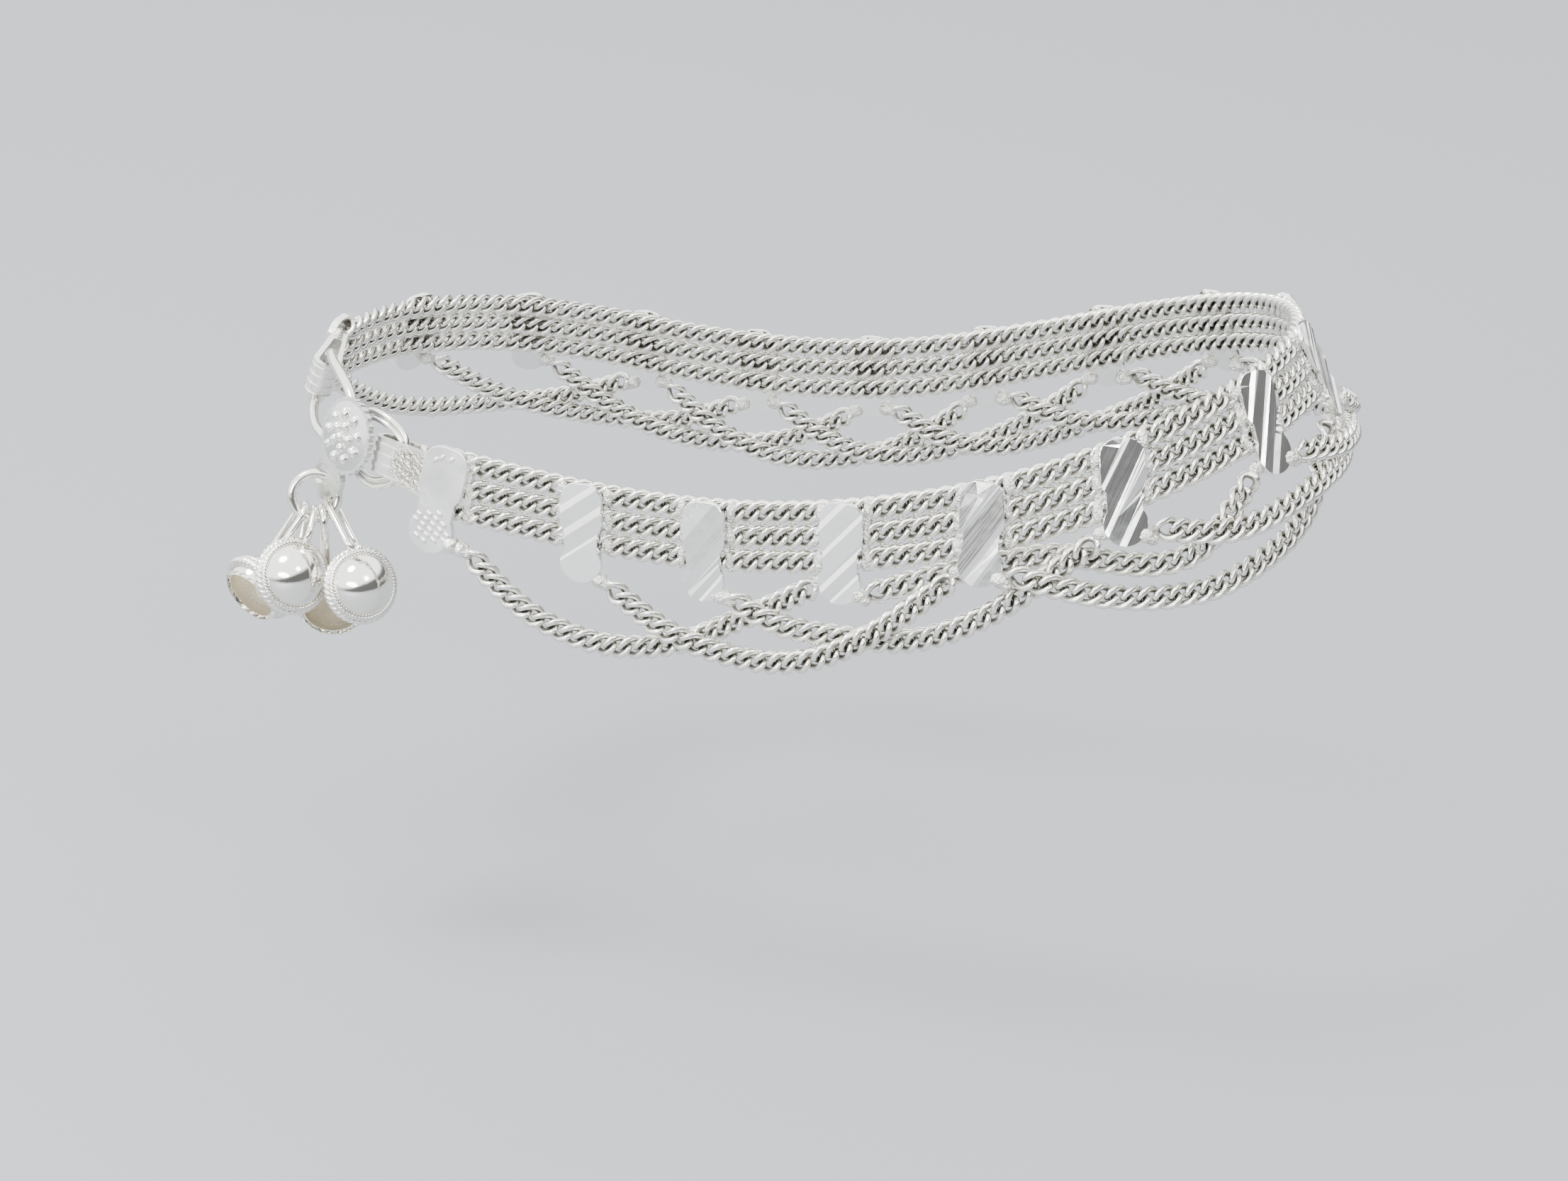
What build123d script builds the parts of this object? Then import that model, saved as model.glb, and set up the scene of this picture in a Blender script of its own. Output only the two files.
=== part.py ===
from build123d import *
import os
from math import atan2, ceil, cos, degrees, pi, radians, sin, tan

# Payal anklet: three curb chains side by side under eighteen soldered plates, fifteen swags of
# the same chain, an S-hook with a medallion, and four ghungroo bells on a jump ring.
# Millimetres. X runs from the heel to the instep, -Y is the outer side of the ankle, +Z is up.
# The origin is the middle of the ankle opening, at the height of the middle chain.
#
# Places on the band are (u, h, n): u along the loop from the heel, h down the band from the
# middle chain, n outwards from the chains' own surface.

# ---- the loop round the ankle
loop_length = 262.0
half_loop = loop_length / 2
# one side of the loop, from the heel to the instep: each stretch has a length and turns evenly
plan_stretches = [
    # name, length, turn in degrees
    ("heel", 37.1, 87.0),
    ("side", 48.6, 0.8),
    ("front corner", 25.3, 45.9),
]
instep_length = half_loop - sum(row[1] for row in plan_stretches)
instep_turn = 180.0 - sum(row[2] for row in plan_stretches)
plan_stretches.append(("instep", instep_length, instep_turn))

# height of the middle chain, and how far the band's lower edge stands out, as waves round the loop
rise_heel_to_instep = -3.69
rise_over_ankle_bones = 5.09
rise_third = -0.43
flare_mean = 13.4
flare_heel_to_instep = -3.3
flare_at_ends = 10.4

# ---- chains
chain_radius = 0.6
strand_spacing = 2.45
strand_heights = {"top": -strand_spacing, "middle": 0.0, "bottom": strand_spacing}
arc_share = 0.45
strand_overrun = 0.4

# ---- plates: their places along the loop
first_plate = 35.9
plate_steps = [14.2, 12.4, 13.6, 13.2, 12.5, 14.9, 12.5]
plate_count = 18
last_plate = loop_length - 1.0
plain_step = (last_plate - first_plate - sum(plate_steps)) / (plate_count - 1 - len(plate_steps))
plate_steps = plate_steps + [plain_step] * (plate_count - 1 - len(plate_steps))
plate_places = [first_plate + sum(plate_steps[:i]) for i in range(plate_count)]

plate_width = 4.1
plate_top = 3.45
plate_bottom = -6.4
lobe_radius = 2.05
waist_width = 3.3
plate_back = 0.74
plate_thickness = 0.6
end_plate_scale = 1.08
first_plate_lean = -12.0
lean_pivot = 1.0
bridge_lump = (0.8, -5.9, 0.9)
head_below_chain = 1.9
head_corner = 1.5
waist_y = -2.6
waist_length = 4.0
# diagonal cuts across the front: a slow rise and a quick fall, seen across the cuts
cut_angle = 52.0
cut_depth = 0.16
cut_count = 7
cut_step = 1.9
cut_rise = 0.72
cut_reach = 9.0
cut_middle = -1.4
rib_length = 5.5
rib_width = 0.74
rib_depth = 0.95
lump_radius = 0.8
lump_side = 1.75

# ---- swags: drop below the middle chain and stand-off, at nine even stations from start to end
swag_reach = 3
swag_end_gap = 2.72
swag_drops = {
    # swag: start ........................................ end
    0: (6.3, 9.8, 11.6, 12.4, 12.2, 11.2, 8.9, 6.8, 4.6),
    1: (6.2, 9.0, 10.7, 11.7, 12.1, 11.7, 10.1, 7.9, 5.2),
    2: (5.9, 8.2, 9.4, 10.3, 10.9, 10.4, 9.1, 7.0, 5.0),
    3: (5.5, 4.9, 4.7, 4.7, 5.2, 7.6, 9.6, 9.7, 5.3),
    4: (5.7, 8.2, 10.6, 12.4, 13.4, 13.1, 12.3, 10.6, 6.0),
    5: (5.7, 8.4, 9.3, 9.2, 9.2, 9.4, 9.4, 8.0, 5.0),
    6: (5.5, 7.5, 8.1, 8.6, 9.3, 9.7, 9.0, 7.5, 5.0),
}
plain_drops = (5.7, 8.4, 9.9, 10.8, 11.1, 10.8, 9.8, 7.9, 5.0)
swag_stand_offs = {
    0: (0.75, 1.15, 1.0, 0.8, 0.3, -0.4, -0.5, -0.4, 0.45),
    1: (0.75, 1.15, 1.05, 1.0, 1.15, 1.15, 1.05, 0.75, 0.4),
    2: (0.8, 1.1, 0.0, -0.5, -0.45, -0.2, -0.05, 0.1, 0.5),
    3: (0.75, -0.55, -1.05, -1.1, -1.15, -0.9, -0.5, -0.4, 0.3),
    4: (1.1, 1.9, 0.8, 0.3, 0.1, -0.3, -0.65, -0.9, 0.1),
    5: (0.9, 1.2, 1.35, 1.3, 1.1, 0.5, -0.5, -0.8, 0.1),
    6: (1.0, 1.75, 1.45, 0.8, 0.4, -0.1, -0.4, -0.4, 0.35),
    7: (1.0, 1.75, 1.3, 0.9, 0.3, -0.4, -0.5, -0.4, 0.35),
}
plain_stand_offs = (0.75, 1.15, 1.0, 0.8, 0.3, -0.4, -0.5, -0.4, 0.35)
drop_variation = 0.35

# ---- ribbed straps at the two ends
strap_root_inset = 1.5
strap_width_root = 4.5
strap_width_fold = 3.5
strap_sheet = 0.45
strap_root_height = 1.5
strap_root_n = 0.25
strap_cavity_start = 1.7
strap_cavity_height = 0.9
# near strap, far strap
strap_lengths = [7.8, 8.3]
fold_radii = [1.2, 1.45]
strap_tip_ns = [-0.3, 0.0]
strap_ribs = 9
rib_relief = 0.12
strap_h = -0.3

# ---- S-hook and medallion
hook_wire = 0.5
twin_wire = 0.31
twin_offset = 0.36
medallion_place = (24.0, -0.6)
medallion_turn = -3.0
medallion_radius = 3.95
medallion_back = 1.15
medallion_rim = 0.55
medallion_dome = 0.6
scallop_radius = 0.36
rim_scallops = 26
dome_bite = 0.1
grain_radius = 0.36
grain_rings = [(1, 0.0), (5, 1.15), (9, 2.3)]
rim_land = 0.45
seat_x = -1.1
seat_radius = 2.0
seat_depth = 1.9
# the tab is an ear that leans out to the lower left of the medallion
tab_place = (-2.35, -4.9)
tab_turn = 30.0
tab_width = 4.3
tab_height = 4.2
tab_corner = 1.6
tab_hole_place = (-3.4, -4.75)
tab_hole_radius = 1.05
tab_back = -0.45
tab_thickness = 0.6

# ---- jump ring and bells
ring_centre = Vector(-45.0, -21.12, -6.86)
ring_radius = 2.3
ring_wire = 0.48
ring_normal = Vector(0.45, -0.85, 0.25)
bell_radius = 3.25
bell_wall = 0.32
band_tube = 0.42
thin_band_tube = 0.26
mouth_height = 1.5
tooth_count = 18
tooth_depth = 0.42
loop_wire = 0.31
loop_half_width = 1.05
loop_play = 0.25
bell_turn = 47.0
loop_bite = 0.15
loop_foot_radius = 0.42
bells = [
    # name, centre, direction of the mouth, place on the ring in degrees from its lowest point
    ("bell_left", Vector(-51.2, -22.65, -16.9), Vector(-0.35, -0.85, -0.35), -46.0),
    ("bell_front", Vector(-45.4, -26.7, -13.3), Vector(-0.75, 0.55, -0.4), -18.0),
    ("bell_lower", Vector(-44.2, -20.4, -18.85), Vector(0.25, -0.9, -0.35), 14.0),
    ("bell_right", Vector(-38.75, -25.3, -14.2), Vector(-0.7, 0.6, -0.4), 51.0),
]


# ---------------------------------------------------------------- the loop's own surface
def half_plan(s):
    """Point and heading, in degrees, at arc length s of the near side, from the heel."""
    x = 0.0
    y = 0.0
    heading = -90.0
    for _, length, turn in plan_stretches:
        part = min(max(s, 0.0), length)
        swing = radians(turn * part / length)
        chord = part if abs(swing) < 1e-9 else part * sin(swing / 2) / (swing / 2)
        x += chord * cos(radians(heading) + swing / 2)
        y += chord * sin(radians(heading) + swing / 2)
        heading += degrees(swing)
        s -= part
    return x, y, heading


plan_end_x, plan_end_y, _ = half_plan(half_loop)


def plan(u):
    """Point and heading anywhere on the loop: the far side mirrors the near side."""
    u = u % loop_length
    side = 1
    if u > half_loop:
        u = loop_length - u
        side = -1
    x, y, heading = half_plan(u)
    y -= plan_end_y * u / half_loop
    if side < 0:
        heading = 180.0 - heading
    return x - plan_end_x / 2, side * y, heading


def wave(u, first, second, third):
    turn = 2 * pi * u / loop_length
    return first * cos(turn) + second * cos(2 * turn) + third * cos(3 * turn)


def height(u):
    return wave(u, rise_heel_to_instep, rise_over_ankle_bones, rise_third)


def band_frame(u):
    """Centre, level tangent, outward normal and downward direction of the band at u."""
    x, y, heading = plan(u)
    turn = radians(heading)
    flare = radians(flare_mean + wave(u, flare_heel_to_instep, flare_at_ends, 0.0))
    outward = Vector(sin(turn), -cos(turn), 0)
    along = Vector(cos(turn), sin(turn), 0)
    up = Vector(0, 0, 1)
    normal = outward * cos(flare) + up * sin(flare)
    down = outward * sin(flare) - up * cos(flare)
    return Vector(x, y, height(u)), along, normal, down


def place(u, h, n):
    centre, _, normal, down = band_frame(u)
    return centre + down * h + normal * n


# ---------------------------------------------------------------- chains, as tubes
def tube(points, radius):
    """A round tube along straight runs joined by tangent arcs as large as the runs allow."""
    runs = [points[i + 1] - points[i] for i in range(len(points) - 1)]
    radii = []
    for before, after in zip(runs, runs[1:]):
        half_turn = radians(before.get_angle(after)) / 2
        radii.append(arc_share * min(before.length, after.length) / tan(half_turn))
    path = FilletPolyline(*points, radius=radii)
    section = Plane(origin=path @ 0, z_dir=path % 0) * Circle(radius)
    solid = sweep(section, path=path)
    want = pi * radius ** 2 * path.length
    print(f"tube {path.length:7.2f} mm, least radius {min(radii):5.2f}, volume / plain {solid.volume / want:.4f}")
    return solid


def strand_corners(h):
    """Corners of one long chain: one midway between each two plates, and its two ends."""
    corners = [place(plate_places[0] - strand_overrun, h, 0.0)]
    for left, right in zip(plate_places, plate_places[1:]):
        bend = radians((plan(right)[2] - plan(left)[2]) % 360)
        corners.append(place((left + right) / 2, h, bend * (right - left) / 8))
    corners.append(place(plate_places[-1] + strand_overrun, h, 0.0))
    return corners


def strand(h):
    return tube(strand_corners(h), chain_radius)


def swag_rows(k):
    """Drop and stand-off of swag k at its stations."""
    drops = swag_drops.get(k)
    if drops is None:
        lift = drop_variation * sin(2.4 * k)
        drops = [drop + lift * sin(pi * i / 8) for i, drop in enumerate(plain_drops)]
    return drops, swag_stand_offs.get(k, plain_stand_offs)


def swag(k):
    drops, stand_offs = swag_rows(k)
    start = plate_places[k] + swag_end_gap
    end = plate_places[k + swag_reach] - swag_end_gap
    last = len(drops) - 1
    points = []
    for i in range(last + 1):
        u = start + (end - start) * i / last
        points.append(place(u, drops[i], stand_offs[i]))
    return tube(points, chain_radius)


# ---------------------------------------------------------------- plates
def plate_outline():
    """Straight-sided head with a rounded top, a waist, and a round lobe below."""
    head_height = plate_top + head_below_chain
    head = Pos(0, plate_top - head_height / 2) * RectangleRounded(plate_width, head_height, head_corner)
    lobe = Pos(0, plate_bottom + lobe_radius) * Circle(lobe_radius)
    waist = Pos(0, waist_y) * Rectangle(waist_width, waist_length)
    return head + waist + lobe


def plate_blank():
    """The waisted plate under its saw-like diagonal cuts: x along the band, y up, z outwards."""
    half = cut_count * cut_step / 2
    corners = [(half, 0.0), (-half, 0.0)]
    for i in range(cut_count):
        left = i * cut_step - half
        corners.append((left, plate_thickness - cut_depth))
        corners.append((left + cut_rise * cut_step, plate_thickness))
    corners.append((half, plate_thickness - cut_depth))
    profile = make_face(Polyline(*corners, close=True))
    bar = extrude(Plane.XZ * profile, cut_reach, both=True)
    blank = extrude(plate_outline(), plate_thickness + 1)
    return Pos(0, 0, plate_back) * (blank & Pos(0, cut_middle, 0) * Rot(0, 0, cut_angle - 90) * bar)


def solder(k):
    """Ribs of solder between the chains, and the lumps that hold the swags' ends."""
    plane, run = plate_plane(k)
    angle = degrees(atan2(run.dot(plane.y_dir), run.dot(plane.x_dir)))
    pieces = []
    for y in (-strand_spacing / 2, strand_spacing / 2):
        rib = Box(rib_length, rib_width * cos(radians(angle)), rib_depth)
        pieces.append(Pos(0, y, plate_back + 0.1 - rib_depth / 2) * Rot(0, 0, angle) * rib)
    if k < plate_count - swag_reach:
        drops, stand_offs = swag_rows(k)
        pieces.append(Pos(lump_side, -drops[0], stand_offs[0]) * Sphere(lump_radius))
    if k >= swag_reach:
        drops, stand_offs = swag_rows(k - swag_reach)
        pieces.append(Pos(-lump_side, -drops[-1], stand_offs[-1]) * Sphere(lump_radius))
    return pieces


def plate_plane(k):
    """Where plate k sits: on the middle chain's run behind it, upright, and square to that run."""
    corners = strand_corners(0.0)
    run = (corners[k + 1] - corners[k]).normalized()
    centre, along, normal, _ = band_frame(plate_places[k])
    centre = corners[k] + run * (centre - corners[k]).dot(run)
    outward = normal - run * normal.dot(run)
    return Plane(origin=centre, x_dir=along, z_dir=outward), run


def strap_side(length, radius):
    """Side view of the folded strap, less its cavity: a thin root that opens into a round fold."""
    root = Pos(0, 0.1) * Rectangle(0.9, strap_root_height)
    return make_hull((root + Pos(length, 0) * Circle(radius)).edges())


def strap(length, fold_radius):
    """A sheet folded on itself, ribbed along its length: x towards the fold, z outwards."""
    fold_centre = length - fold_radius
    cavity_end = Pos(fold_centre, 0) * Circle(fold_radius - rib_relief - strap_sheet)
    cavity_root = Pos(strap_cavity_start, 0) * Rectangle(0.4, strap_cavity_height)
    cavity = make_hull((cavity_end + cavity_root).edges())
    strip = strap_width_root / strap_ribs
    solid = None
    for i in range(strap_ribs):
        relief = 0.0 if i % 2 == 0 else rib_relief
        side = strap_side(fold_centre, fold_radius - relief) - cavity
        band = extrude(Plane.XZ * side, strip)
        band = Pos(0, strap_width_root / 2 - i * strip, 0) * band
        solid = band if solid is None else solid + band
    for side in (-1, 1):
        lean = degrees(atan2((strap_width_root - strap_width_fold) / 2, length))
        trim = Pos(0, side * (strap_width_root / 2 + 2), 0) * Rot(0, 0, -side * lean) * Box(24, 4, 6)
        solid = solid - trim
    return solid


def end_strap(k):
    """The strap leaves the end plate's back on its outer side, along the loop."""
    far = 0 if k == 0 else 1
    sign = -1 if k == 0 else 1
    length = strap_lengths[far]
    u = plate_places[k] + sign * strap_root_inset
    root = place(u, strap_h, strap_root_n)
    tip = place(u + sign * length, strap_h, strap_tip_ns[far])
    normal = band_frame(u + sign * length / 2)[2]
    axis = (tip - root).normalized()
    plane = Plane(origin=root, x_dir=axis, z_dir=normal - axis * normal.dot(axis))
    return plane * strap(length, fold_radii[far])


def plate(k):
    blank = plate_blank()
    if k in (0, plate_count - 1):
        blank = scale(blank, by=end_plate_scale)
    pieces = solder(k)
    if k == 0:
        blank = Pos(0, lean_pivot, 0) * Rot(0, 0, first_plate_lean) * Pos(0, -lean_pivot, 0) * blank
        x, y, radius = bridge_lump
        pieces.append(Pos(x, y, plate_back + 0.2) * Sphere(radius))
    solid = plate_plane(k)[0] * (blank + pieces)
    if k in (0, plate_count - 1):
        solid = solid + end_strap(k)
    return solid


# ---------------------------------------------------------------- S-hook
near_loop_centre = (27.4, -0.6)
near_loop_places = [
    # u, h, n; both ends lie under the medallion
    (23.9, -1.5, 0.15),
    (25.2, -3.6, 0.15),
    (27.9, -3.8, 0.1),
    (30.2, -2.8, -0.25),
    (30.6, -0.6, -0.35),
    (29.2, 2.0, -0.35),
    (26.7, 3.2, -0.1),
    (24.7, 2.6, 0.15),
    (23.6, 0.9, 0.15),
]
far_loop_places = [
    (23.2, -1.6, 0.1),
    (21.2, -3.8, 0.0),
    (17.6, -4.5, -0.1),
    (13.2, -4.3, -0.1),
    (9.4, -3.9, -0.15),
    (7.2, -2.2, -0.2),
    (7.0, -0.3, -0.2),
    (7.1, 1.7, -0.25),
    (9.6, 2.7, -0.15),
    (13.8, 2.7, 0.0),
    (18.6, 2.3, 0.0),
    (22.4, 1.0, 0.1),
]


def near_loop_points(side):
    """Corners of one of the two wires laid side by side in the near loop."""
    u0, h0 = near_loop_centre
    points = []
    for u, h, n in near_loop_places:
        spread = 1 + side * twin_offset / ((u - u0) ** 2 + (h - h0) ** 2) ** 0.5
        points.append(place(u0 + (u - u0) * spread, h0 + (h - h0) * spread, n))
    return points


def medallion():
    """Domed disc with a scalloped rim and raised grains: z outwards, centred on its axis."""
    outline = Circle(medallion_radius - scallop_radius / 2)
    for i in range(rim_scallops):
        turn = 360 * i / rim_scallops
        outline = outline + Rot(0, 0, turn) * Pos(medallion_radius - scallop_radius, 0) * Circle(scallop_radius)
    rim = extrude(outline, medallion_rim)
    dome_reach = medallion_radius - rim_land
    ball_radius = (dome_reach ** 2 + medallion_dome ** 2) / (2 * medallion_dome)
    ball = Pos(0, medallion_rim + medallion_dome - ball_radius) * Circle(ball_radius)
    cut = Pos(dome_reach / 2, medallion_rim + 1 - dome_bite) * Rectangle(dome_reach, 2)
    dome = revolve(Plane.XZ * (ball & cut), axis=Axis.Z)
    grains = []
    for count, radius in grain_rings:
        for i in range(count):
            turn = 2 * pi * i / count + radius
            lift = (ball_radius ** 2 - radius ** 2) ** 0.5 - ball_radius
            z = medallion_rim + medallion_dome + lift
            grains.append(Pos(radius * cos(turn), radius * sin(turn), z) * Sphere(grain_radius))
    return rim + dome + grains


def disc_plane():
    """The medallion's own axes, turned a little further round the ankle than the band there."""
    u, h = medallion_place
    _, along, normal, down = band_frame(u)
    turn = radians(medallion_turn)
    facing = normal * cos(turn) - along * sin(turn)
    return Plane(origin=place(u, h, medallion_back), x_dir=along * cos(turn) + normal * sin(turn), z_dir=facing)


def s_hook():
    """Two wire loops, the medallion soldered over them and the tab below it."""
    seat = Pos(seat_x, 0, -seat_depth / 2 + 0.1) * Cylinder(seat_radius, seat_depth)
    tab = Pos(*tab_place) * Rot(0, 0, tab_turn) * RectangleRounded(tab_width, tab_height, tab_corner)
    tab = tab - Pos(*tab_hole_place) * Circle(tab_hole_radius)
    tab = Pos(0, 0, tab_back) * extrude(tab, tab_thickness)
    solid = disc_plane() * (medallion() + [seat, tab])
    wires = [tube([place(*point) for point in far_loop_places], hook_wire)]
    for side in (-1, 1):
        wires.append(tube(near_loop_points(side), twin_wire))
    return solid + wires


# ---------------------------------------------------------------- ring and bells
def ring_plane():
    level = Vector(0, 0, 1).cross(ring_normal).normalized()
    return Plane(origin=ring_centre, x_dir=level, z_dir=ring_normal)


def jump_ring():
    return ring_plane() * Torus(ring_radius, ring_wire)


def bell_plane(centre, mouth, ring_place):
    """The bell's own axes: z towards its mouth, x towards its place on the jump ring."""
    turn = radians(ring_place - 90.0)
    hold = ring_plane().from_local_coords(Vector(ring_radius * cos(turn), ring_radius * sin(turn), 0))
    axis = mouth.normalized()
    reach = hold - centre
    across = reach - axis * reach.dot(axis)
    return Plane(origin=centre, x_dir=across, z_dir=axis), hold


def bell_body():
    """Hollow dome, twisted band and short toothed wall, turned in one: z towards the mouth."""
    cup = Circle(bell_radius) - Circle(bell_radius - bell_wall)
    cup = cup & Pos(bell_radius, mouth_height - bell_radius) * Rectangle(2 * bell_radius, 2 * bell_radius)
    band = Pos(bell_radius + 0.12, 0) * Circle(band_tube)
    thin_band = Pos(bell_radius + 0.02, -band_tube - 0.2) * Circle(thin_band_tube)
    solid = revolve(Plane.XZ * (cup + band + thin_band), axis=Axis.Z)
    for i in range(tooth_count):
        notch = Pos(bell_radius, 0, mouth_height) * Rot(45, 0, 0) * Box(3, tooth_depth, tooth_depth)
        solid = solid - Rot(0, 0, 360 * i / tooth_count) * notch
    return solid


def loop_link(length, half_width, wire):
    """A long round-ended wire link lying in its own xy plane, with its length along x."""
    straight = length / 2 - half_width
    ring = Torus(half_width, wire)
    half_space = Box(4 * half_width, 4 * half_width, 4 * wire)
    solid = Pos(straight, 0, 0) * (ring & Pos(2 * half_width, 0, 0) * half_space)
    solid = solid + Pos(-straight, 0, 0) * (ring & Pos(-2 * half_width, 0, 0) * half_space)
    for side in (-1, 1):
        solid = solid + Pos(0, side * half_width, 0) * Rot(0, 90, 0) * Cylinder(wire, 2 * straight)
    return solid


def bell(centre, mouth, ring_place):
    plane, hold = bell_plane(centre, mouth, ring_place)
    body = plane * Rot(0, 0, bell_turn) * bell_body()
    rim = plane.from_local_coords(Vector(bell_radius + 0.3, 0, 0))
    reach = (hold - rim).normalized()
    turn = radians(ring_place)
    axes = ring_plane()
    along_ring = axes.x_dir * cos(turn) + axes.y_dir * sin(turn)
    across = along_ring - reach * along_ring.dot(reach)
    far = hold + reach * (ring_wire + loop_wire + loop_play)
    near = rim - reach * loop_bite
    length = (far - near).length
    loop_plane = Plane(origin=(near + far) * 0.5, x_dir=reach, z_dir=across)
    foot = Pos(*near) * Sphere(loop_foot_radius)
    return body + (foot + loop_plane * loop_link(length, loop_half_width, loop_wire))


# ---------------------------------------------------------------- write the pieces
def build():
    nodes = {}
    for name, h in strand_heights.items():
        nodes[f"chain_{name}"] = strand(h)
    for k in range(plate_count - swag_reach):
        nodes[f"swag_{k:02d}"] = swag(k)
    for k in range(plate_count):
        nodes[f"plate_{k:02d}"] = plate(k)
    nodes["s_hook"] = s_hook()
    nodes["jump_ring"] = jump_ring()
    for name, centre, mouth, ring_place in bells:
        nodes[name] = bell(centre, mouth, ring_place)
    return nodes


os.makedirs("parts", exist_ok=True)
for node_name, node_solid in build().items():
    export_step(node_solid, f"parts/{node_name}.step")
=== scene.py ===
import random
from math import atan2, cos, degrees, pi, radians, sin, sqrt

import bmesh
import bpy
import numpy as np
from mathutils import Matrix, Vector


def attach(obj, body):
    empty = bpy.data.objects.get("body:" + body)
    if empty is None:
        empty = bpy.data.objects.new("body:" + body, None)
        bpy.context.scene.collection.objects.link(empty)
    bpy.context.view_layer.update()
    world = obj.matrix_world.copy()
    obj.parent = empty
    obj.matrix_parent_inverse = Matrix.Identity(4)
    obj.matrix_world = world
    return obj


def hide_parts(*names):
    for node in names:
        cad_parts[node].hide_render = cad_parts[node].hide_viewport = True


# Payal anklet in white silver: what the solids leave out. Three curb chains and fifteen swags are
# laid link by link, the plates get their diamond cuts, the solder its grain, the medallion its
# petals and the bells their twisted rope bands. Lengths are in millimetres, which axes_matrix() and
# the materials turn into metres. The floor, the lamps and the camera are placed in metres.
MM = 0.001

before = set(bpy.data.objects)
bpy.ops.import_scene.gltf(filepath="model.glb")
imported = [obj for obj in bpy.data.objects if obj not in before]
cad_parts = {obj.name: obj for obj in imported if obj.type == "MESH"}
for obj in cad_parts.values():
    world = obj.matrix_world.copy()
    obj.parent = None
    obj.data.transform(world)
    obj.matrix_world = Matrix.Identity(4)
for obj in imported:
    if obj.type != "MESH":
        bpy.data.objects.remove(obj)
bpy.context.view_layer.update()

# ---- the loop round the ankle, as in the part's source
loop_length = 262.0
half_loop = loop_length / 2
# the length and the turn in degrees of each stretch of one side, from the heel to the instep
plan_stretches = [(37.1, 87.0), (48.6, 0.8), (25.3, 45.9)]
instep_length = half_loop - sum(row[0] for row in plan_stretches)
instep_turn = 180.0 - sum(row[1] for row in plan_stretches)
plan_stretches.append((instep_length, instep_turn))
# waves round the loop: the height of its middle, and the lean outwards of its lower edge in degrees
rise_heel_to_instep = -3.69
rise_over_ankle_bones = 5.09
rise_third = -0.43
flare_mean = 13.4
flare_heel_to_instep = -3.3
flare_at_ends = 10.4

# ---- chains: how far the long ones lie below the middle one, then the size and set of the links
strand_drops = {"top": -2.45, "middle": 0.0, "bottom": 2.45}
strand_overrun = 0.4
link_half_length = 1.13
link_half_width = 0.85
link_wire = 0.365
link_squareness = 2.6
link_twist = -112.0
link_flat = 0.7
link_pitch = 1.5
link_end_reach = 0.9
link_roll = 5
link_yaw = 2.5

# ---- plates along the loop: the first, the steps to those in front, and even steps to the rest
first_plate = 35.9
plate_steps = [14.2, 12.4, 13.6, 13.2, 12.5, 14.9, 12.5]
plate_count = 18
last_plate = loop_length - 1.0
plain_step = (last_plate - first_plate - sum(plate_steps)) / (plate_count - 1 - len(plate_steps))
plate_steps = plate_steps + [plain_step] * (plate_count - 1 - len(plate_steps))
plate_places = [first_plate + sum(plate_steps[:i]) for i in range(plate_count)]
plate_back = 0.74
plate_thickness = 0.6
end_plate_scale = 1.08
first_plate_lean = -12.0
lean_pivot = 1.0

# ---- swags: each from one plate to the third after it, here by its first plate, with its drop below
# the middle chain and its stand-off from the band's surface at nine even stations
swag_reach = 3
swag_end_gap = 2.72
swag_drops = {
    0: (6.3, 9.8, 11.6, 12.4, 12.2, 11.2, 8.9, 6.8, 4.6),
    1: (6.2, 9.0, 10.7, 11.7, 12.1, 11.7, 10.1, 7.9, 5.2),
    2: (5.9, 8.2, 9.4, 10.3, 10.9, 10.4, 9.1, 7.0, 5.0),
    3: (5.5, 4.9, 4.7, 4.7, 5.2, 7.6, 9.6, 9.7, 5.3),
    4: (5.7, 8.2, 10.6, 12.4, 13.4, 13.1, 12.3, 10.6, 6.0),
    5: (5.7, 8.4, 9.3, 9.2, 9.2, 9.4, 9.4, 8.0, 5.0),
    6: (5.5, 7.5, 8.1, 8.6, 9.3, 9.7, 9.0, 7.5, 5.0),
}
plain_drops = (5.7, 8.4, 9.9, 10.8, 11.1, 10.8, 9.8, 7.9, 5.0)
swag_stand_offs = {
    0: (0.75, 1.15, 1.0, 0.8, 0.3, -0.4, -0.5, -0.4, 0.45),
    1: (0.75, 1.15, 1.05, 1.0, 1.15, 1.15, 1.05, 0.75, 0.4),
    2: (0.8, 1.1, 0.0, -0.5, -0.45, -0.2, -0.05, 0.1, 0.5),
    3: (0.75, -0.55, -1.05, -1.1, -1.15, -0.9, -0.5, -0.4, 0.3),
    4: (1.1, 1.9, 0.8, 0.3, 0.1, -0.3, -0.65, -0.9, 0.1),
    5: (0.9, 1.2, 1.35, 1.3, 1.1, 0.5, -0.5, -0.8, 0.1),
    6: (1.0, 1.75, 1.45, 0.8, 0.4, -0.1, -0.4, -0.4, 0.35),
    7: (1.0, 1.75, 1.3, 0.9, 0.3, -0.4, -0.5, -0.4, 0.35),
}
plain_stand_offs = (0.75, 1.15, 1.0, 0.8, 0.3, -0.4, -0.5, -0.4, 0.35)
drop_variation = 0.35

# ---- jump ring and bells
ring_centre = Vector((-45.0, -21.12, -6.86))
ring_radius = 2.3
ring_wire = 0.48
ring_normal = Vector((0.45, -0.85, 0.25))
bell_radius = 3.25
bell_wall = 0.3
mouth_height = 1.5
tooth_count = 18
tooth_depth = 0.42
loop_play = 0.2
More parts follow.
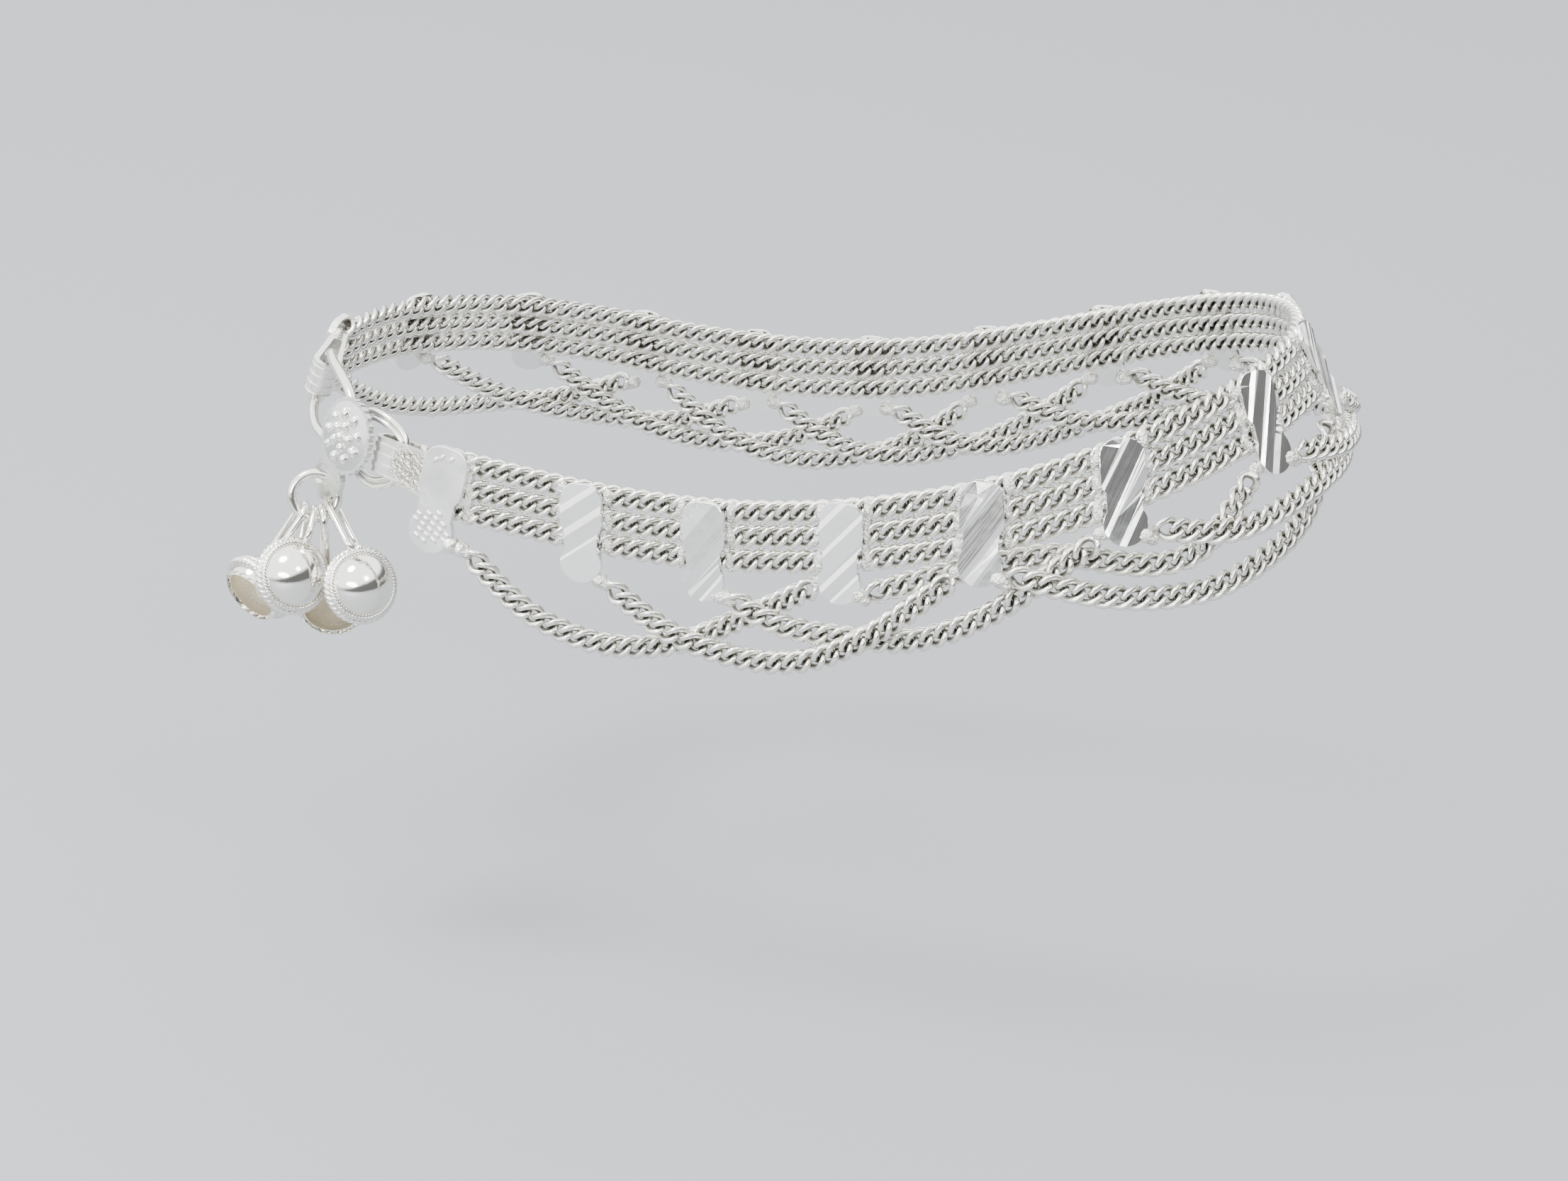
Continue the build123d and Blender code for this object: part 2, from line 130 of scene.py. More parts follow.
# each bell's wire loop: half its width, its wire's radius, and its swing about its own length in degrees
bell_loops = {
    "bell_left": (1.4, 0.37, 10.0),
    "bell_front": (1.4, 0.37, 10.0),
    "bell_lower": (1.4, 0.37, 0.0),
    "bell_right": (1.05, 0.33, 0.0),
}
# each bell's centre, where its mouth faces, and where its loop hangs, in degrees from the jump
# ring's lowest point
bells = [
    ("bell_left", Vector((-51.2, -22.65, -16.9)), Vector((-0.35, -0.85, -0.35)), -46.0),
    ("bell_front", Vector((-45.4, -26.7, -13.3)), Vector((-0.75, 0.55, -0.4)), -18.0),
    ("bell_lower", Vector((-44.2, -20.4, -18.85)), Vector((0.25, -0.9, -0.35)), 14.0),
    ("bell_right", Vector((-38.75, -25.3, -14.2)), Vector((-0.7, 0.6, -0.4)), 51.0),
]
# how far round the loop the medallion sits, and how far below the middle chain
medallion_place = (24.0, -0.6)
medallion_turn = -3.0
medallion_radius = 3.95
medallion_back = 1.15
medallion_rim = 0.55
medallion_dome = 0.6
# the rings of grains on its dome: how many, and how far from its middle
grain_rings = [(1, 0.0), (5, 1.15), (9, 2.3)]
rim_land = 0.45


# ---------------------------------------------------------------- the loop's own surface
def half_plan(s):
    """The point and the heading in degrees at length s of one side, from the heel."""
    x = 0.0
    y = 0.0
    heading = -90.0
    for length, turn in plan_stretches:
        part = min(max(s, 0.0), length)
        swing = radians(turn * part / length)
        chord = part if abs(swing) < 1e-9 else part * sin(swing / 2) / (swing / 2)
        x += chord * cos(radians(heading) + swing / 2)
        y += chord * sin(radians(heading) + swing / 2)
        heading += degrees(swing)
        s -= part
    return x, y, heading


plan_end_x, plan_end_y, _ = half_plan(half_loop)


def plan(u):
    """The same for the closed loop, with its middle at x = 0."""
    u = u % loop_length
    side = 1
    if u > half_loop:
        u = loop_length - u
        side = -1
    x, y, heading = half_plan(u)
    y -= plan_end_y * u / half_loop
    if side < 0:
        heading = 180.0 - heading
    return x - plan_end_x / 2, side * y, heading


def wave(u, first, second, third):
    turn = 2 * pi * u / loop_length
    return first * cos(turn) + second * cos(2 * turn) + third * cos(3 * turn)


def band_frame(u):
    """Centre, level tangent, outward normal and downward direction of the band at u."""
    x, y, heading = plan(u)
    turn = radians(heading)
    flare = radians(flare_mean + wave(u, flare_heel_to_instep, flare_at_ends, 0.0))
    outward = Vector((sin(turn), -cos(turn), 0))
    along = Vector((cos(turn), sin(turn), 0))
    up = Vector((0, 0, 1))
    normal = outward * cos(flare) + up * sin(flare)
    down = outward * sin(flare) - up * cos(flare)
    rise = wave(u, rise_heel_to_instep, rise_over_ankle_bones, rise_third)
    return Vector((x, y, rise)), along, normal, down


def place(u, h, n):
    """The point h below the middle chain and n outside the band's surface at u."""
    centre, _, normal, down = band_frame(u)
    return centre + down * h + normal * n


def strand_corners(h):
    """Corner points of one long chain and the outward direction at each."""
    places = [(plate_places[0] - strand_overrun, 0.0)]
    for left, right in zip(plate_places, plate_places[1:]):
        bend = radians((plan(right)[2] - plan(left)[2]) % 360)
        places.append(((left + right) / 2, bend * (right - left) / 8))
    places.append((plate_places[-1] + strand_overrun, 0.0))
    return [place(u, h, n) for u, n in places], [band_frame(u)[2] for u, _ in places]


def swag_rows(k):
    """The drops and the stand-offs of the swag that starts at plate k."""
    drops = swag_drops.get(k)
    if drops is None:
        lift = drop_variation * sin(2.4 * k)
        drops = [drop + lift * sin(pi * i / 8) for i, drop in enumerate(plain_drops)]
    return drops, swag_stand_offs.get(k, plain_stand_offs)


def swag_corners(k):
    """Corner points of one swag and the outward direction at each."""
    drops, stand_offs = swag_rows(k)
    start = plate_places[k] + swag_end_gap
    end = plate_places[k + swag_reach] - swag_end_gap
    last = len(drops) - 1
    stations = [start + (end - start) * i / last for i in range(last + 1)]
    points = [place(u, drop, stand_off) for u, drop, stand_off in zip(stations, drops, stand_offs)]
    return points, [band_frame(u)[2] for u in stations]


def axes_matrix(origin, x_axis, y_axis, z_axis):
    """A matrix that carries a shape drawn in millimetres on its own axes into metres in the frame."""
    turn = Matrix((x_axis, y_axis, z_axis)).transposed().to_4x4()
    return Matrix.Translation(origin * MM) @ turn @ Matrix.Scale(MM, 4)


# ---------------------------------------------------------------- meshes
def deselect():
    bpy.ops.object.select_all(action="DESELECT")


def activate(obj):
    deselect()
    obj.select_set(True)
    bpy.context.view_layer.objects.active = obj


def enter_edit():
    """Edit mode on the active mesh, with all of it selected."""
    bpy.ops.object.mode_set(mode="EDIT")
    bpy.ops.mesh.select_all(action="SELECT")


def leave_edit():
    bpy.ops.object.mode_set(mode="OBJECT")


def add_ball():
    """A faceted ball one unit in radius."""
    deselect()
    bpy.ops.mesh.primitive_ico_sphere_add(subdivisions=3, radius=1)
    return bpy.context.object


def add_ring(radius, tube, along, around):
    """A torus in the xy plane with so many vertices along it and around its tube."""
    deselect()
    bpy.ops.mesh.primitive_torus_add(
        major_segments=along, minor_segments=around, major_radius=radius, minor_radius=tube
    )
    return bpy.context.object


def apply_modifiers(obj):
    activate(obj)
    for modifier in list(obj.modifiers):
        bpy.ops.object.modifier_apply(modifier=modifier.name)


def copy_at(obj, matrix):
    twin = obj.copy()
    twin.data = obj.data.copy()
    twin.matrix_world = matrix
    bpy.context.collection.objects.link(twin)
    return twin


def join(parts, name):
    """One object at the origin out of many, each with its place put into its mesh."""
    deselect()
    for part in parts:
        part.select_set(True)
    bpy.context.view_layer.objects.active = parts[0]
    if len(parts) > 1:
        bpy.ops.object.join()
    piece = bpy.context.view_layer.objects.active
    bpy.ops.object.transform_apply(location=True, rotation=True, scale=True)
    piece.name = name
    piece.data.name = name
    return piece


def remove(obj):
    bpy.data.objects.remove(obj)


def turned(angle, axis="Z"):
    """A turn by an angle in degrees."""
    return Matrix.Rotation(radians(angle), 4, axis)


def draw_size(rng, spans):
    """Half sizes along x, y and z, each drawn from its span."""
    return tuple(rng.uniform(*span) for span in spans)


def finish_piece(piece, material):
    piece.data.materials.clear()
    piece.data.materials.append(material)
    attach(piece, "root")
    return piece


# ---------------------------------------------------------------- curb chains
# wires start out this thin, so that they can be shaped before they are fattened
thin_wire = 0.05
tangent_reach = 0.4


def make_link():
    """One curb link, flat on its xy plane: a squarish wire oval, twisted end to end and ground flat."""
    link = add_ring(link_half_length, thin_wire, 28, 8)
    for vertex in link.data.vertices:
        spin = atan2(vertex.co.y, vertex.co.x)
        squared = abs(cos(spin)) ** link_squareness + abs(sin(spin)) ** link_squareness
        vertex.co *= squared ** (-1 / link_squareness)
    enter_edit()
    bpy.ops.transform.resize(value=(1, link_half_width / link_half_length, 1))
    bpy.ops.transform.shrink_fatten(value=link_wire - thin_wire)
    leave_edit()
    # the wire's inner side, which the chains' material darkens: painted shade in the links' holes, partly
    # tarnish
    inside = link.data.attributes.new("inside", "FLOAT", "POINT")
    for vertex, value in zip(link.data.vertices, inside.data):
        inward = -Vector((vertex.co.x, vertex.co.y, 0)).normalized()
        value.value = max(vertex.normal.dot(inward), 0.0)
    twist = link.modifiers.new("twist", "SIMPLE_DEFORM")
    twist.deform_method = "TWIST"
    twist.deform_axis = "X"
    twist.angle = radians(link_twist * (link_half_length + link_wire) / link_half_length)
    apply_modifiers(link)
    for vertex in link.data.vertices:
        vertex.co.z = min(max(vertex.co.z, -link_flat), link_flat)
    bpy.ops.object.shade_smooth()
    return link


def read_route(points, outward):
    """The smooth line through a chain's corner points, and a second line one millimetre outside it."""
    lines = []
    for offset in (0.0, 1.0):
        curve = bpy.data.curves.new("route", "CURVE")
        curve.dimensions = "3D"
        curve.resolution_u = 24
        spline = curve.splines.new("NURBS")
        spline.points.add(len(points) - 1)
        for control, point, direction in zip(spline.points, points, outward):
            control.co = (*((point + direction * offset) * MM), 1.0)
        spline.order_u = 3
        spline.use_endpoint_u = True
        holder = bpy.data.objects.new("route", curve)
        mesh = bpy.data.meshes.new_from_object(holder)
        lines.append(np.array([vertex.co for vertex in mesh.vertices]) / MM)
        bpy.data.meshes.remove(mesh)
        remove(holder)
    return lines


def lay_chain(name, corners, link, seed):
    """Links set along the route by arc length, flat side outwards, each rocked a little."""
    centre, edge = read_route(*corners)
    steps = np.linalg.norm(np.diff(centre, axis=0), axis=1)
    reach = np.concatenate([[0.0], np.cumsum(steps)])
    length = reach[-1]
    count = round((length - 2 * link_end_reach) / link_pitch) + 1
    pitch = (length - 2 * link_end_reach) / (count - 1)
    rock = random.Random(seed)

    def at(line, s):
        return Vector([np.interp(s, reach, line[:, axis]) for axis in range(3)])

    links = []
    for i in range(count):
        s = link_end_reach + i * pitch
        point = at(centre, s)
        x_axis = (at(centre, s + tangent_reach) - at(centre, s - tangent_reach)).normalized()
        normal = at(edge, s) - point
        z_axis = (normal - x_axis * normal.dot(x_axis)).normalized()
        y_axis = z_axis.cross(x_axis)
        sway = turned(rock.uniform(-link_roll, link_roll), "X")
        sway = sway @ turned(rock.uniform(-link_yaw, link_yaw))
        links.append(copy_at(link, axes_matrix(point, x_axis, y_axis, z_axis) @ sway))
    return join(links, name)


# ---------------------------------------------------------------- plates
head_half = 2.05
head_top = 3.45
head_bottom = -1.9
head_corner = 1.5
waist_half = 1.65
waist_low = -4.6
waist_high = -0.6
lobe_y = -4.35
lobe_radius = 2.05
outline_middle = -1.4
outline_count = 96
cut_rise = 0.2
# how the rim rounds over: at each step, its spread as a share of the plate's size, and its drop
rim_steps = [(0.022, 0.025), (0.009, 0.055), (0.0, 0.2)]
# the skin over each end plate: how much larger than the plate it is, and its clearance
skin_scale = (1.01, 1.005)
skin_play = 0.04
# the raised lozenges on that skin: half sizes, then the first one on the lobe, the step to the next
# and the step to the next row, and last those at the head
lozenge_size = (0.42, 0.24, 0.15)
lozenge_first = (-1.9, -1.9)
lozenge_step = (0.82, -0.3)
lozenge_row_step = (-0.2, -0.62)
lozenge_rows = 7
lozenges_in_row = 6
lozenge_turn = -35
lozenge_margin = 0.2
lozenge_top = lobe_y + 1.9
head_lozenges = [(-1.1, 2.3), (-0.5, 2.7), (0.5, 2.75)]
head_lozenge_turn = 60
# the diamond cuts of the plates that lie in front: angle from level, 1 where the cuts face up or -1
# where they face down, then where each cut starts across the plate, from its middle towards the lower
# right, and how wide it is
cut_rows = {
    1: (36, 1, [(-2.15, 0.6), (-0.05, 0.65), (2.1, 0.25)]),
    2: (52, 1, [(-1.25, 0.95), (0.45, 0.9), (2.3, 0.5), (3.6, 0.3)]),
    3: (48, 1, [(-2.4, 0.5), (-0.3, 0.4), (1.9, 0.5), (3.5, 0.3)]),
    4: (56, -1, [(-2.9, 0.3), (-0.95, 0.35), (1.6, 0.5), (3.0, 0.35)]),
    5: (62, 1, [(-1.45, 0.35), (0.6, 0.45), (2.35, 0.6)]),
    6: (64, 1, [(-1.6, 0.4), (0.3, 0.4), (1.9, 0.6)]),
}
# the other plates' cuts, and the angle that they start from as it changes from plate to plate
plain_cuts = [(-2.9, 0.45), (-0.9, 0.4), (1.1, 0.45), (3.0, 0.35)]
plain_angle = 46
angle_step = 7
angle_spread = 12
# where the outermost creases lie, beyond the sheet's edge
sheet_reach = 9.0
# steps of the tool to each side of the plate's middle
tool_steps = 30
# patches where the tool chattered: right of this x, between these heights, in steps across the cut
tooth_step = 0.3
tooth_height = 0.05
tooth_left = 0.9
tooth_patches = {1: [], 2: [(-3.6, -2.4)], 3: [(-1.2, -0.3)]}
other_tooth_patches = [(-2.6, -0.6), (0.9, 2.6)]
# the patch at the head of one plate where the sheet was left grainy, above this height
grainy_plate = 2
grainy_bottom = 1.3
grainy_margin = 0.1
grain_step = 0.22
grain_height = 0.022
# the extra facets at the heads of the plates from this one on: above this height, by lines in these
# directions through a point drawn from these spans
first_faceted_plate = 4
facet_floor = 1.2
facet_height = 0.06
facet_turns = (12, 78, 128)
facet_x = (-0.6, 0.4)
facet_y = (1.9, 2.6)


def half_width(y):
    """Half the plate's width at height y: a round-cornered head, a waist and a round lobe."""
    reach = 0.0
    if head_bottom <= y <= head_top:
        over = max(y - (head_top - head_corner), (head_bottom + head_corner) - y, 0.0)
        reach = head_half - head_corner + sqrt(max(head_corner ** 2 - over ** 2, 0.0))
    if waist_low <= y <= waist_high:
        reach = max(reach, waist_half)
    if abs(y - lobe_y) < lobe_radius:
        reach = max(reach, sqrt(lobe_radius ** 2 - (y - lobe_y) ** 2))
    return reach


def outline_points(count):
    """Points round the plate's outline, evenly spaced, anticlockwise from the top."""
    fine = 400
    height = head_top - (lobe_y - lobe_radius)
    heights = [head_top - height * (1 - cos(pi * i / fine)) / 2 for i in range(fine + 1)]
    left = [Vector((-half_width(y), y, 0)) for y in heights]
    right = [Vector((half_width(y), y, 0)) for y in reversed(heights)]
    ring = left + right
    reach = [0.0]
    for a, b in zip(ring, ring[1:]):
        reach.append(reach[-1] + (b - a).length)
    xs = [p.x for p in ring]
    ys = [p.y for p in ring]
    steps = [reach[-1] * i / count for i in range(count)]
    return [Vector((np.interp(s, reach, xs), np.interp(s, reach, ys), 0)) for s in steps]


def select_faces(obj, wanted):
    """In edit mode, selects the faces whose middle passes the test."""
    bpy.ops.mesh.select_mode(type="FACE")
    bpy.ops.mesh.select_all(action="DESELECT")
    mesh = bmesh.from_edit_mesh(obj.data)
    for face in mesh.faces:
        if wanted(face.calc_center_median()):
            face.select_set(True)
    bmesh.update_edit_mesh(obj.data)


def plate_sheet(points):
    """The plate's front as one flat face with the given outline, on z = 0."""
    deselect()
    bpy.ops.mesh.primitive_circle_add(vertices=len(points), radius=1, fill_type="NGON")
    piece = bpy.context.object
    # the circle's vertices run anticlockwise too, so each takes one outline point
    for vertex, point in zip(piece.data.vertices, points):
        vertex.co = point
    return piece


def cut_facets(k, piece, rng):
    """Bisects plate k's sheet along its cuts and lifts the corners to the cuts' heights."""
    angle, facing, cuts = cut_rows.get(k, (plain_angle + (k * angle_step) % angle_spread, 1, plain_cuts))
    patches = tooth_patches.get(k, other_tooth_patches)
    many_facets = k >= first_faceted_plate
    across = Vector((sin(radians(angle)), -cos(radians(angle)), 0))
    along = Vector((cos(radians(angle)), sin(radians(angle)), 0))
    creases = [(-sheet_reach, 0.0)]
    low, high = (-cut_rise, 0.0) if facing > 0 else (0.0, -cut_rise)
    for start, width in cuts:
        creases.append((start, low))
        creases.append((start + width, high))
    creases.append((sheet_reach, low))

    def in_patch(point):
        return point.x > tooth_left and any(bottom < point.y < top for bottom, top in patches)

    def is_grainy(point):
        above_cuts = point.dot(across) < cuts[0][0] - grainy_margin
        return k == grainy_plate and point.y > grainy_bottom and above_cuts

    enter_edit()
    for distance, _ in creases[1:-1]:
        bpy.ops.mesh.select_all(action="SELECT")
        bpy.ops.mesh.bisect(plane_co=across * distance, plane_no=across)
    if many_facets:
        for turn in facet_turns:
            normal = Vector((cos(radians(turn)), sin(radians(turn)), 0))
            middle = Vector((rng.uniform(*facet_x), rng.uniform(*facet_y), 0))
            select_faces(piece, lambda point: point.y > facet_floor and point.x < tooth_left)
            bpy.ops.mesh.bisect(plane_co=middle, plane_no=normal)
    for i in range(-tool_steps, tool_steps):
        if patches:
            select_faces(piece, in_patch)
            bpy.ops.mesh.bisect(plane_co=along * i * tooth_step, plane_no=along)
        if k == grainy_plate:
            for line in (across, along):
                select_faces(piece, is_grainy)
                bpy.ops.mesh.bisect(plane_co=line * i * grain_step, plane_no=line)
    leave_edit()
    distances = [row[0] for row in creases]
    heights = [row[1] for row in creases]
    for vertex in piece.data.vertices:
        lift = float(np.interp(vertex.co.dot(across), distances, heights))
        if in_patch(vertex.co):
            lift += tooth_height * (-1) ** round(vertex.co.dot(along) / tooth_step)
        elif many_facets and vertex.co.y > facet_floor:
            lift += rng.uniform(-facet_height, facet_height)
        elif is_grainy(vertex.co):
            lift += rng.uniform(-grain_height, grain_height)
        vertex.co.z = lift
    lines = piece.data.uv_layers.new(name="cut_lines")
    for corner, loop in zip(lines.data, piece.data.loops):
        point = piece.data.vertices[loop.vertex_index].co
        corner.uv = (point.dot(across), point.dot(along))


def close_plate(piece, back):
    """Rounds the sheet's rim over, carries it down to the back and closes it."""
    activate(piece)
    bpy.ops.object.mode_set(mode="EDIT")
    bpy.ops.mesh.select_mode(type="EDGE")
    bpy.ops.mesh.select_all(action="DESELECT")
    bpy.ops.mesh.select_non_manifold(
        extend=False, use_wire=False, use_multi_face=False, use_non_contiguous=False, use_verts=False
    )
    middle = (0, outline_middle, 0)
    for spread, drop in rim_steps:
        bpy.ops.mesh.extrude_region_move(TRANSFORM_OT_translate={"value": (0, 0, -drop)})
        bpy.ops.transform.resize(value=(1 + spread, 1 + spread / 2, 1), center_override=middle)
    bpy.ops.transform.resize(value=(1, 1, 0), center_override=(0, 0, back))
    bpy.ops.mesh.edge_face_add()
    bpy.ops.mesh.select_all(action="SELECT")
    bpy.ops.mesh.normals_make_consistent(inside=False)
    leave_edit()


def add_lozenges(piece):
    """Small raised lozenges in slanting rows on the end plate's lobe and at its head."""
    lozenge = add_ball()
    enter_edit()
    bpy.ops.transform.resize(value=lozenge_size)
    leave_edit()
    bpy.ops.object.shade_smooth()
    parts = [piece]
    for row in range(lozenge_rows):
        for i in range(lozenges_in_row):
            x = lozenge_first[0] + lozenge_step[0] * i + lozenge_row_step[0] * row
            y = lozenge_first[1] + lozenge_row_step[1] * row + lozenge_step[1] * i
            reach = sqrt(x ** 2 + (y - lobe_y) ** 2)
            if y < lozenge_top and reach < lobe_radius - lozenge_margin:
                parts.append(copy_at(lozenge, Matrix.Translation((x, y, 0.0)) @ turned(lozenge_turn)))
    for x, y in head_lozenges:
        parts.append(copy_at(lozenge, Matrix.Translation((x, y, 0.0)) @ turned(head_lozenge_turn)))
    remove(lozenge)
    return join(parts, piece.name)


def make_plate(k):
    """Plate k in its own axes, in millimetres: x along the band, y up, z outwards."""
    rng = random.Random(k)
    piece = plate_sheet(outline_points(outline_count))
    if k in (0, plate_count - 1):
        # a skin that holds the plain solid plate inside
        piece.data.uv_layers.new(name="cut_lines")
        scale_x, scale_y = [end_plate_scale * scale for scale in skin_scale]
        piece.data.transform(Matrix.Diagonal((scale_x, scale_y, 1, 1)))
        close_plate(piece, -plate_thickness * end_plate_scale - 2 * skin_play)
        piece = add_lozenges(piece)
        lift = (plate_back + plate_thickness) * end_plate_scale + skin_play
    else:
        cut_facets(k, piece, rng)
        close_plate(piece, -plate_thickness)
        lift = plate_back + plate_thickness
    piece.data.transform(Matrix.Translation((0, 0, lift)))
    if k == 0:
        pivot = Matrix.Translation((0, lean_pivot, 0))
        piece.data.transform(pivot @ turned(first_plate_lean) @ pivot.inverted())
    piece.matrix_world = plate_axes(k)[0]
    return join([piece], f"plate_{k:02d}_cut_face")


def plate_axes(k):
    """Where plate k sits, upright and square to the middle chain's run behind it, and that run's slope."""
    corners, _ = strand_corners(0.0)
    run = (corners[k + 1] - corners[k]).normalized()
    centre, along, normal, _ = band_frame(plate_places[k])
    centre = corners[k] + run * (centre - corners[k]).dot(run)
    outward = (normal - run * normal.dot(run)).normalized()
    across = outward.cross(along).normalized()
    level = across.cross(outward)
    return axes_matrix(centre, level, across, outward), run.dot(across) / run.dot(level)


# ---------------------------------------------------------------- solder
# how uneven the drops of solder and the petals are
rough_lump = 0.14
smooth_lump = 0.03
# where the drops beside a plate lie: from its middle, and in front of the chains' middle
lump_reach = 2.3
solder_z = 0.2
strand_raise = 0.1
strand_shift = (-0.1, 0.2)
between_inset = 0.25
between_shift = (-0.1, 0.1)
between_strands = strand_drops["bottom"] / 2
# spans for the half sizes of the drops over the chains and of those between them
strand_drop = ((0.35, 0.65), (0.85, 1.15), (0.45, 0.6))
between_drop = ((0.35, 0.6), (0.8, 1.0), (0.4, 0.55))
# the ribs behind the plate, between the chains
rib_z = 0.35
rib_size = (2.4, 0.5, 0.5)
# the drops at a swag's start and end: x from the plate's middle, height above the swag, half sizes
swag_start_drops = [(1.85, 0.1, (0.85, 0.7, 0.75)), (2.45, -0.25, (0.6375, 0.62, 0.6))]
large_start_drops = [(1.85, 0.1, (1.15, 0.8, 0.75)), (2.45, -0.25, (0.8625, 0.62, 0.6))]
large_drops_plate = 2
swag_end_drops = [(-1.8, 0.0, (0.8, 0.75, 0.7)), (-2.4, -0.1, (0.6, 0.6, 0.55))]
drop_swing = 0.4
solder_unevenness = 0.35
# the grain's size on the near plates and on the others
near_plates = 7
near_grain = 0.09
far_grain = 0.15


def make_lump(seed, unevenness):
    """A drop of metal one millimetre in radius, uneven all over by so many millimetres."""
    lump = add_ball()
    enter_edit()
    bpy.ops.transform.vertex_random(offset=unevenness, uniform=0.2, normal=0.6, seed=seed)
    leave_edit()
    return lump


def solder_rows(k, slope):
    """Where plate k's drops lie in its own axes, and their half sizes, all in millimetres."""
    rng = random.Random(300 + k)
    rows = []
    for side in (-1, 1):
        for y in strand_drops.values():
            x = side * (lump_reach + rng.uniform(*strand_shift))
            rows.append(((x, -y + slope * x, solder_z + strand_raise), draw_size(rng, strand_drop)))
        for y in (-between_strands, between_strands):
            x = side * (lump_reach - between_inset + rng.uniform(*between_shift))
            rows.append(((x, y + slope * x, solder_z), draw_size(rng, between_drop)))
    for y in (-between_strands, between_strands):
        rows.append(((0, y, rib_z), rib_size))
    if k < plate_count - swag_reach:
        drops, stand_offs = swag_rows(k)
        start_drops = large_start_drops if k == large_drops_plate else swag_start_drops
        for x, rise, size in start_drops:
            rows.append(((x, -drops[0] + rise, stand_offs[0]), size))
    if k >= swag_reach:
        drops, stand_offs = swag_rows(k - swag_reach)
        for x, rise, size in swag_end_drops:
            rows.append(((x, -drops[-1] + rise, stand_offs[-1]), size))
    return rows


def make_solder(k, lumps, grain):
    """The drops of plate k run together, with grains of the given size in millimetres."""
    axes, slope = plate_axes(k)
    rng = random.Random(600 + k)
    parts = []
    for place_on, size in solder_rows(k, slope):
        turn = atan2(slope, 1) if size == rib_size else rng.uniform(-drop_swing, drop_swing)
        shape = Matrix.Translation(place_on) @ Matrix.Rotation(turn, 4, "Z") @ Matrix.Diagonal((*size, 1))
        parts.append(copy_at(rng.choice(lumps), axes @ shape))
    solder = join(parts, f"plate_{k:02d}_solder")
    fused = solder.modifiers.new("fused", "REMESH")
    fused.mode = "VOXEL"
    fused.voxel_size = grain * MM
    apply_modifiers(solder)
    enter_edit()
    bpy.ops.transform.vertex_random(
        offset=solder_unevenness * grain * MM, uniform=0.2, normal=0.8, seed=k
    )
    leave_edit()
    bpy.ops.object.shade_smooth()
    return solder


# ---------------------------------------------------------------- bells
cup_rings = 40
cup_edge = 0.01
cup_crease = 40
tooth_share = (0.5, 1.1)
# how far outside the cup a loop's length is measured from, and how far inside that it starts
loop_root = 0.3
loop_sink = 0.15
# the three drops of solder side by side at its foot: size, shape and places
foot_radius = 0.42
foot_seed = 3
foot_places = (-0.45, 0.0, 0.45)
# the small second curl of wire in one bell's loop: length, half width, wire and place
curled_bell = "bell_right"
curl_size = (0.9, 0.55, 0.27)
curl_drop = 0.3
# the two twisted bands: radius beyond the cup's, thickness and ridges, and how far the thin one
# lies behind the thick one
thick_rope = (0.18, 0.52, 40)
thin_rope = (0.06, 0.29, 60)
rope_step = 0.68
rope_core = 0.66
rope_ridge = 0.34
rope_sharpness = 0.7
ridge_points = 6
rope_points = 18


def make_cup(seed):
    """The stamped cup of one bell, mouth upwards: a cut ball with an uneven toothed edge and a wall."""
    rng = random.Random(seed)
    teeth = [rng.uniform(*tooth_share) for _ in range(tooth_count)]
    deselect()
    bpy.ops.mesh.primitive_uv_sphere_add(segments=4 * tooth_count, ring_count=cup_rings, radius=bell_radius)
    cup = bpy.context.object
    enter_edit()
    bpy.ops.mesh.bisect(plane_co=(0, 0, mouth_height), plane_no=(0, 0, 1), clear_outer=True)
    leave_edit()
    for vertex in cup.data.vertices:
        if vertex.co.z > mouth_height - cup_edge:
            step = (atan2(vertex.co.y, vertex.co.x) / (2 * pi) % 1) * tooth_count
            notch = abs(2 * (step % 1) - 1) * teeth[int(step + 0.5) % tooth_count]
            vertex.co.z -= tooth_depth * notch
    wall = cup.modifiers.new("wall", "SOLIDIFY")
    wall.thickness = bell_wall
    wall.offset = -1
    apply_modifiers(cup)
    bpy.ops.object.shade_smooth_by_angle(angle=radians(cup_crease))
    return cup


def make_rope(radius, tube, ridges):
    """A closed ring of twisted wires in its own xy plane, with that many ridges along its length."""
    rope = add_ring(radius, tube, ridges * ridge_points, rope_points)
    for vertex in rope.data.vertices:
        spin = atan2(vertex.co.y, vertex.co.x)
        outward = Vector((cos(spin), sin(spin), 0))
        offset = vertex.co - outward * radius
        turn = atan2(offset.z, offset.dot(outward))
        strand = abs(cos(2 * turn - ridges / 2 * spin)) ** rope_sharpness
        vertex.co = outward * radius + offset * (rope_core + rope_ridge * strand)
    bpy.ops.object.shade_smooth()
    return rope


def make_loop(length, half_width, wire):
    """A round-ended wire loop in its own xy plane, with its length along x."""
    straight = max(length / 2 - half_width, 0.0)
    loop = add_ring(half_width, thin_wire, 30, 10)
    for vertex in loop.data.vertices:
        vertex.co.x += straight if vertex.co.x > 0 else -straight
    enter_edit()
    bpy.ops.transform.shrink_fatten(value=wire - thin_wire)
    leave_edit()
    bpy.ops.object.shade_smooth()
    return loop


def ring_axes():
    """The jump ring's axes: x level in its plane, y up in its plane, z along its own axis."""
    z_axis = ring_normal.normalized()
    x_axis = Vector((0, 0, 1)).cross(ring_normal).normalized()
    return x_axis, z_axis.cross(x_axis), z_axis


